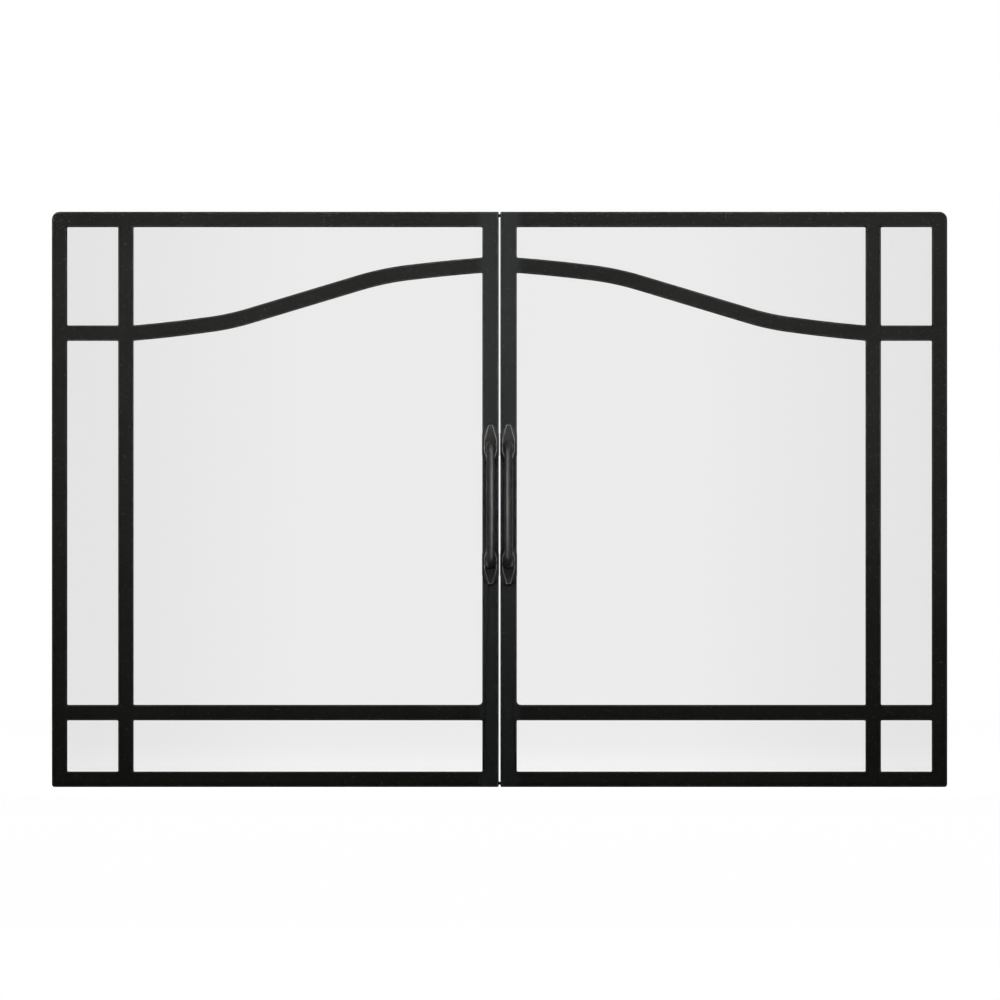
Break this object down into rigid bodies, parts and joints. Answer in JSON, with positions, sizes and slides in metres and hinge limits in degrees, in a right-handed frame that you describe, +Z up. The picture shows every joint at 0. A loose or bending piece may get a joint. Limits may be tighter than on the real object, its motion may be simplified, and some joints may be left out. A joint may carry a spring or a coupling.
{
  "type": "fireplace glass door",
  "caption": "Pair of black steel fireplace doors with clear glass, an arched window-pane bar pattern and forged bar handles, on a slim mounting frame.",
  "frame": {"origin": "middle of the underside of the sill strip, half way through its depth", "axes": "+X to the right as seen from the room, +Y back into the fireplace, +Z up; -Y faces the room"},
  "size_m": [0.9246, 0.0585, 0.594],
  "materials": {
    "black_paint": "satin charcoal-black heat-proof paint",
    "forged_black": "satin black over a lightly hammered surface",
    "frame_paint": "satin black heat-proof paint",
    "clear_glass": "clear tempered glass with polished edges",
    "gasket_tape": "woven glass-fibre tape",
    "zinc_plate": "zinc-plated steel",
    "brass": "turned brass",
    "black_plastic": "moulded heat-proof plastic"
  },
  "bodies": {
    "mounting_frame": {"head_strip": "frame_paint", "sill_strip": "frame_paint", "left_jamb_strip": "frame_paint", "left_magnet_catch": "black_plastic", "left_lower_frame_knuckle": "frame_paint", "left_lower_hinge_pin": "zinc_plate", "left_lower_hinge_washer": "brass", "left_upper_frame_knuckle": "frame_paint", "left_upper_hinge_pin": "zinc_plate", "left_upper_hinge_washer": "brass", "right_jamb_strip": "frame_paint", "right_magnet_catch": "black_plastic", "right_lower_frame_knuckle": "frame_paint", "right_lower_hinge_pin": "zinc_plate", "right_lower_hinge_washer": "brass", "right_upper_frame_knuckle": "frame_paint", "right_upper_hinge_pin": "zinc_plate", "right_upper_hinge_washer": "brass"},
    "left_door": {"left_hinge_stile": "black_paint", "left_meeting_stile": "black_paint", "left_top_rail": "black_paint", "left_bottom_rail": "black_paint", "left_side_muntin": "black_paint", "left_upper_cross_bar": "black_paint", "left_lower_cross_bar": "black_paint", "left_lower_bar": "black_paint", "left_arch_bar": "black_paint", "left_glass": "clear_glass", "left_glass_gasket": "gasket_tape", "left_lower_outer_clip": "zinc_plate", "left_lower_inner_clip": "zinc_plate", "left_upper_outer_clip": "zinc_plate", "left_upper_inner_clip": "zinc_plate", "left_strike_plate": "zinc_plate", "left_handle": "forged_black", "left_lower_handle_screw": "zinc_plate", "left_upper_handle_screw": "zinc_plate", "left_lower_leaf_knuckle": "black_paint", "left_upper_leaf_knuckle": "black_paint"},
    "right_door": {"right_hinge_stile": "black_paint", "right_meeting_stile": "black_paint", "right_top_rail": "black_paint", "right_bottom_rail": "black_paint", "right_side_muntin": "black_paint", "right_upper_cross_bar": "black_paint", "right_lower_cross_bar": "black_paint", "right_lower_bar": "black_paint", "right_arch_bar": "black_paint", "right_glass": "clear_glass", "right_glass_gasket": "gasket_tape", "right_lower_outer_clip": "zinc_plate", "right_lower_inner_clip": "zinc_plate", "right_upper_outer_clip": "zinc_plate", "right_upper_inner_clip": "zinc_plate", "right_strike_plate": "zinc_plate", "right_handle": "forged_black", "right_lower_handle_screw": "zinc_plate", "right_upper_handle_screw": "zinc_plate", "right_lower_leaf_knuckle": "black_paint", "right_upper_leaf_knuckle": "black_paint"}
  },
  "joints": [
    {"name": "left_door_swing", "type": "hinge", "parent": "mounting_frame", "child": "left_door", "pos_m": [-0.45725, -0.0154, 0.295], "axis": [0, 0, -1], "range_deg": [0, 110]},
    {"name": "right_door_swing", "type": "hinge", "parent": "mounting_frame", "child": "right_door", "pos_m": [0.45725, -0.0154, 0.295], "axis": [0, 0, 1], "range_deg": [0, 110]}
  ]
}
